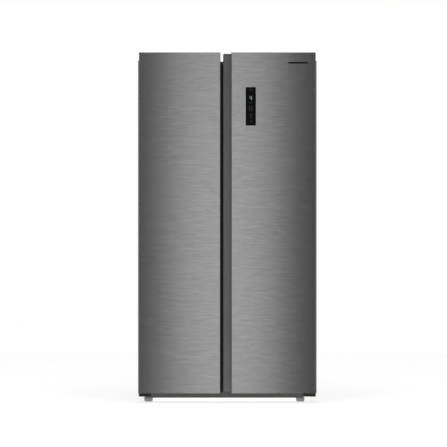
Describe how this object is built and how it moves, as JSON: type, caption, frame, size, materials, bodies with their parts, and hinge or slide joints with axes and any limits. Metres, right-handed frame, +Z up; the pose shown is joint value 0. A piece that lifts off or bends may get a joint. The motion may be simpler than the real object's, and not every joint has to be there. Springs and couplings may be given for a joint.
{
  "type": "side by side refrigerator",
  "caption": "Tall two-door side by side refrigerator with brushed steel doors, a recessed vertical grip band, a slim display, shelves, drawers and door bins.",
  "frame": {"origin": "middle of the footprint, on the floor", "axes": "+X to the right seen from the front, doors face -Y, +Z up"},
  "size_m": [0.91, 0.645, 1.786],
  "materials": {
    "stainless": "brushed stainless door skins",
    "cabinet_paint": "dark grey coated steel",
    "bare_steel": "zinc plated steel",
    "black_steel": "black painted steel",
    "foam": "rigid polyurethane foam",
    "liner_plastic": "white polystyrene",
    "grip_plastic": "grey moulded ABS",
    "cap_plastic": "dark grey ABS",
    "black_plastic": "black plastic",
    "display_glass": "gloss black touch panel",
    "clear_plastic": "clear polystyrene",
    "shelf_glass": "toughened glass",
    "white_plastic": "white moulded plastic",
    "gasket_rubber": "grey magnetic gasket",
    "rubber": "black rubber",
    "copper": "copper tube",
    "fin_aluminium": "aluminium fins",
    "compressor_black": "black enamelled steel shell",
    "foot_plastic": "light grey foot",
    "lamp_lens": "frosted lens"
  },
  "bodies": {
    "cabinet": {"outer_cabinet": "cabinet_paint", "back_panel": "bare_steel", "cabinet_insulation": "foam", "freezer_liner": "liner_plastic", "fridge_liner": "liner_plastic", "mullion_cover": "cabinet_paint", "base_frame": "black_steel", "kick_plate": "cap_plastic", "machine_room_cover": "bare_steel", "compressor": "compressor_black", "compressor_mounts": "rubber", "condenser_coil": "copper", "condenser_fan_shroud": "black_plastic", "drain_pan": "black_plastic", "refrigerant_pipes": "copper", "control_box": "cap_plastic", "evaporator": "fin_aluminium", "defrost_heater": "fin_aluminium", "evaporator_cover": "white_plastic", "evaporator_fan_motor": "black_plastic", "fridge_air_duct": "white_plastic", "freezer_shelf_glass": "shelf_glass", "freezer_shelf_frames": "white_plastic", "fridge_shelf_glass": "shelf_glass", "fridge_shelf_frames": "white_plastic", "interior_lamps": "lamp_lens", "upper_hinges": "bare_steel", "lower_hinges": "black_steel", "hinge_covers": "cap_plastic", "hinge_screws": "bare_steel", "roller_axles": "bare_steel"},
    "freezer_door": {"freezer_door_skin": "stainless", "freezer_door_foam": "foam", "freezer_door_liner": "liner_plastic", "freezer_door_gasket": "gasket_rubber", "freezer_door_caps": "cap_plastic", "freezer_door_grip": "grip_plastic", "freezer_door_bins": "clear_plastic"},
    "fridge_door": {"fridge_door_skin": "stainless", "fridge_door_foam": "foam", "fridge_door_liner": "liner_plastic", "fridge_door_gasket": "gasket_rubber", "fridge_door_caps": "cap_plastic", "fridge_door_grip": "grip_plastic", "fridge_door_bins": "clear_plastic", "control_display": "display_glass"},
    "dairy_lid": {"dairy_lid": "clear_plastic"},
    "freezer_drawer_upper": {"freezer_drawer_upper": "clear_plastic"},
    "freezer_drawer_lower": {"freezer_drawer_lower": "clear_plastic"},
    "crisper_upper": {"crisper_upper": "clear_plastic"},
    "crisper_lower": {"crisper_lower": "clear_plastic"},
    "evaporator_fan": {"evaporator_fan": "black_plastic"},
    "condenser_fan": {"condenser_fan": "black_plastic"},
    "damper_flap": {"damper_flap": "white_plastic"},
    "rear_roller_left": {"rear_roller_left": "white_plastic"},
    "rear_roller_right": {"rear_roller_right": "white_plastic"},
    "foot_pad_left": {"foot_pad_left": "foot_plastic"},
    "foot_pad_right": {"foot_pad_right": "foot_plastic"},
    "foot_stud_left": {"foot_stud_left": "bare_steel"},
    "foot_stud_right": {"foot_stud_right": "bare_steel"}
  },
  "joints": [
    {"name": "freezer_door_hinge", "type": "hinge", "parent": "cabinet", "child": "freezer_door", "pos_m": [-0.435, -0.2905, 0.9], "axis": [0, 0, -1], "range_deg": [0, 120]},
    {"name": "fridge_door_hinge", "type": "hinge", "parent": "cabinet", "child": "fridge_door", "pos_m": [0.435, -0.2905, 0.9], "axis": [0, 0, 1], "range_deg": [0, 120]},
    {"name": "freezer_drawer_upper_slide", "type": "slide", "parent": "cabinet", "child": "freezer_drawer_upper", "axis": [0, -1, 0], "range_m": [0, 0.22]},
    {"name": "freezer_drawer_lower_slide", "type": "slide", "parent": "cabinet", "child": "freezer_drawer_lower", "axis": [0, -1, 0], "range_m": [0, 0.22]},
    {"name": "crisper_upper_slide", "type": "slide", "parent": "cabinet", "child": "crisper_upper", "axis": [0, -1, 0], "range_m": [0, 0.22]},
    {"name": "crisper_lower_slide", "type": "slide", "parent": "cabinet", "child": "crisper_lower", "axis": [0, -1, 0], "range_m": [0, 0.22]},
    {"name": "dairy_lid_hinge", "type": "hinge", "parent": "fridge_door", "child": "dairy_lid", "pos_m": [0.2, -0.2565, 1.487], "axis": [1, 0, 0], "range_deg": [0, 80]},
    {"name": "evaporator_fan_spin", "type": "hinge", "parent": "cabinet", "child": "evaporator_fan", "pos_m": [-0.23, 0.2, 1.29], "axis": [0, 1, 0], "continuous": true},
    {"name": "condenser_fan_spin", "type": "hinge", "parent": "cabinet", "child": "condenser_fan", "pos_m": [0.105, 0.2265, 0.122], "axis": [1, 0, 0], "continuous": true},
    {"name": "damper_flap_hinge", "type": "hinge", "parent": "cabinet", "child": "damper_flap", "pos_m": [0.205, 0.2525, 1.56], "axis": [-1, 0, 0], "range_deg": [0, 80]},
    {"name": "rear_roller_left_spin", "type": "hinge", "parent": "cabinet", "child": "rear_roller_left", "pos_m": [-0.395, 0.276, 0.02], "axis": [1, 0, 0], "continuous": true},
    {"name": "rear_roller_right_spin", "type": "hinge", "parent": "cabinet", "child": "rear_roller_right", "pos_m": [0.395, 0.276, 0.02], "axis": [1, 0, 0], "continuous": true},
    {"name": "foot_left_height", "type": "slide", "parent": "cabinet", "child": "foot_pad_left", "axis": [0, 0, -1], "range_m": [0, 0.012]},
    {"name": "foot_left_turn", "type": "hinge", "parent": "foot_pad_left", "child": "foot_stud_left", "pos_m": [-0.4054, -0.224, 0.03], "axis": [0, 0, -1], "range_deg": [0, 2470]},
    {"name": "foot_right_height", "type": "slide", "parent": "cabinet", "child": "foot_pad_right", "axis": [0, 0, -1], "range_m": [0, 0.012]},
    {"name": "foot_right_turn", "type": "hinge", "parent": "foot_pad_right", "child": "foot_stud_right", "pos_m": [0.3755, -0.224, 0.03], "axis": [0, 0, -1], "range_deg": [0, 2470]}
  ],
  "couplings": [
    {"joint": "freezer_drawer_upper_slide", "follows": "freezer_door_hinge", "m_per_rad": 0.1},
    {"joint": "freezer_drawer_lower_slide", "follows": "freezer_door_hinge", "m_per_rad": 0.1},
    {"joint": "crisper_upper_slide", "follows": "fridge_door_hinge", "m_per_rad": 0.1},
    {"joint": "crisper_lower_slide", "follows": "fridge_door_hinge", "m_per_rad": 0.1},
    {"joint": "foot_left_turn", "follows": "foot_left_height", "rad_per_m": 3590.4},
    {"joint": "foot_right_turn", "follows": "foot_right_height", "rad_per_m": 3590.4}
  ]
}
